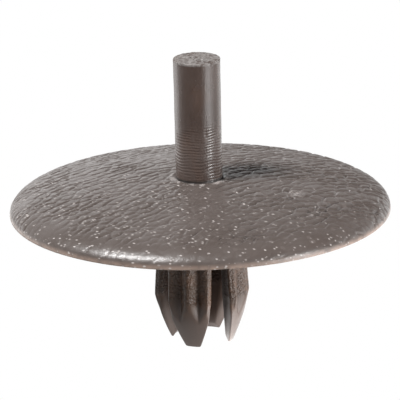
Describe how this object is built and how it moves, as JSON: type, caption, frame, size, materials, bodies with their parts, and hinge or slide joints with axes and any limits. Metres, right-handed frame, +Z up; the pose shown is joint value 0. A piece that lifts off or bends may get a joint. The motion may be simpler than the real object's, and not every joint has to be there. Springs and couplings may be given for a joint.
{
  "type": "plastic push rivet",
  "caption": "Domed plastic push rivet with a wide leather-grained head, split fluted legs below it and a cylindrical drive pin standing in its head, not yet pushed home.",
  "frame": {"origin": "centre of the plane that the head seats on, on the axis of the pin and legs", "axes": "+Z up along the drive pin, out of the panel; the legs lie on the X and Y axes, below the origin"},
  "size_m": [0.0254, 0.0254, 0.0194],
  "materials": {
    "body_plastic": "leather-grained top, spark-eroded legs, semi-gloss",
    "pin_plastic": "smooth semi-gloss, finely ridged lower part"
  },
  "bodies": {
    "body": {"rivet_body": "body_plastic"},
    "pin": {"drive_pin": "pin_plastic"}
  },
  "joints": [
    {"name": "pin_drive", "type": "slide", "parent": "body", "child": "pin", "axis": [0, 0, 1], "range_m": [-0.00813, 0]}
  ]
}
